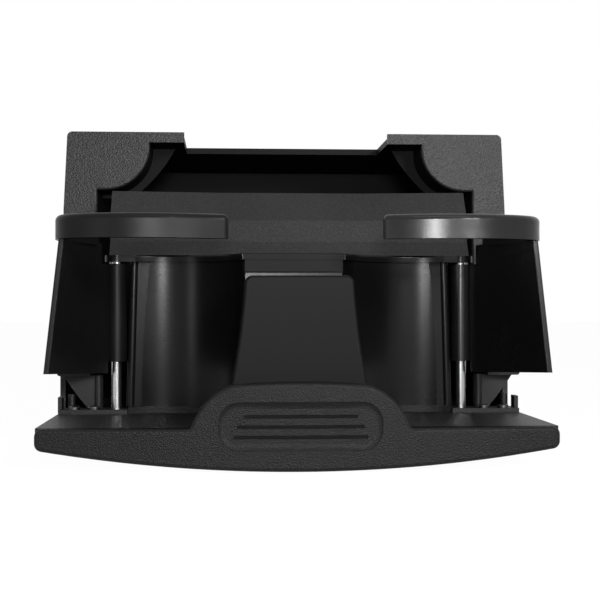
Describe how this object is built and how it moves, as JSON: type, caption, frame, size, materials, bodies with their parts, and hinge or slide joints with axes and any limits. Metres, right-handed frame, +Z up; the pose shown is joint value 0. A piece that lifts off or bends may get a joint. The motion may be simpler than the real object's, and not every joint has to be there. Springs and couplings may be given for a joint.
{
  "type": "centre console cup holder",
  "caption": "Pull-out vehicle console cup holder: a housing, a sliding drawer with cup wells and a divider, and swing arms that fold in as the drawer shuts.",
  "frame": {"origin": "centre of the four base screw holes, on the underside of the housing", "axes": "+X to the right seen from the front, +Y into the console, +Z up"},
  "size_m": [0.2194, 0.2595, 0.1513],
  "materials": {
    "housing_black": "fine-grained black moulded plastic",
    "fascia_black": "grained black trim plastic",
    "tray_black": "fine satin black plastic",
    "gloss_black": "smooth black plastic",
    "arm_black": "satin black plastic",
    "bracket_black": "black glass-filled nylon",
    "runner_nylon": "dark grey acetal",
    "damper_plastic": "black plastic",
    "pin_steel": "blackened steel",
    "spring_steel": "spring steel",
    "screw_steel": "blackened steel screws"
  },
  "bodies": {
    "housing": {"housing_shell": "housing_black", "left_guide_rail": "runner_nylon", "right_guide_rail": "runner_nylon", "rail_screws": "screw_steel", "damper_body": "damper_plastic", "damper_screws": "screw_steel", "catch_spring": "spring_steel", "catch_screw": "screw_steel"},
    "drawer": {"drawer_tray": "tray_black", "damper_rack": "runner_nylon", "catch_striker": "runner_nylon", "fascia": "fascia_black", "fascia_screws": "screw_steel", "cup_well": "gloss_black", "divider_tongue": "gloss_black", "upper_trim": "fascia_black", "trim_screws": "screw_steel", "left_hinge_bracket": "bracket_black", "right_hinge_bracket": "bracket_black", "bracket_screws": "screw_steel", "left_hinge_pin": "pin_steel", "right_hinge_pin": "pin_steel", "left_torsion_spring": "spring_steel", "right_torsion_spring": "spring_steel"},
    "left_arm": {"left_arm": "arm_black"},
    "right_arm": {"right_arm": "arm_black"},
    "damper_gear": {"damper_gear": "runner_nylon"}
  },
  "joints": [
    {"name": "drawer_slide", "type": "slide", "parent": "housing", "child": "drawer", "axis": [0, 1, 0], "range_m": [0, 0.11]},
    {"name": "left_arm_hinge", "type": "hinge", "parent": "drawer", "child": "left_arm", "pos_m": [-0.0795, -0.095, 0.06], "axis": [0, 0, 1], "range_deg": [0, 20.01], "stiffness_Nm_per_rad": 0.02},
    {"name": "right_arm_hinge", "type": "hinge", "parent": "drawer", "child": "right_arm", "pos_m": [0.0795, -0.095, 0.06], "axis": [0, 0, 1], "range_deg": [-20.01, 0], "stiffness_Nm_per_rad": 0.02},
    {"name": "damper_gear_spin", "type": "hinge", "parent": "housing", "child": "damper_gear", "pos_m": [-0.0867, -0.0495, 0.0106], "axis": [0, 0, 1], "range_deg": [-1126, 0]}
  ],
  "couplings": [
    {"joint": "left_arm_hinge", "follows": "drawer_slide", "rad_per_m": 3.1733},
    {"joint": "right_arm_hinge", "follows": "drawer_slide", "rad_per_m": -3.1733},
    {"joint": "damper_gear_spin", "follows": "drawer_slide", "rad_per_m": -178.57}
  ]
}
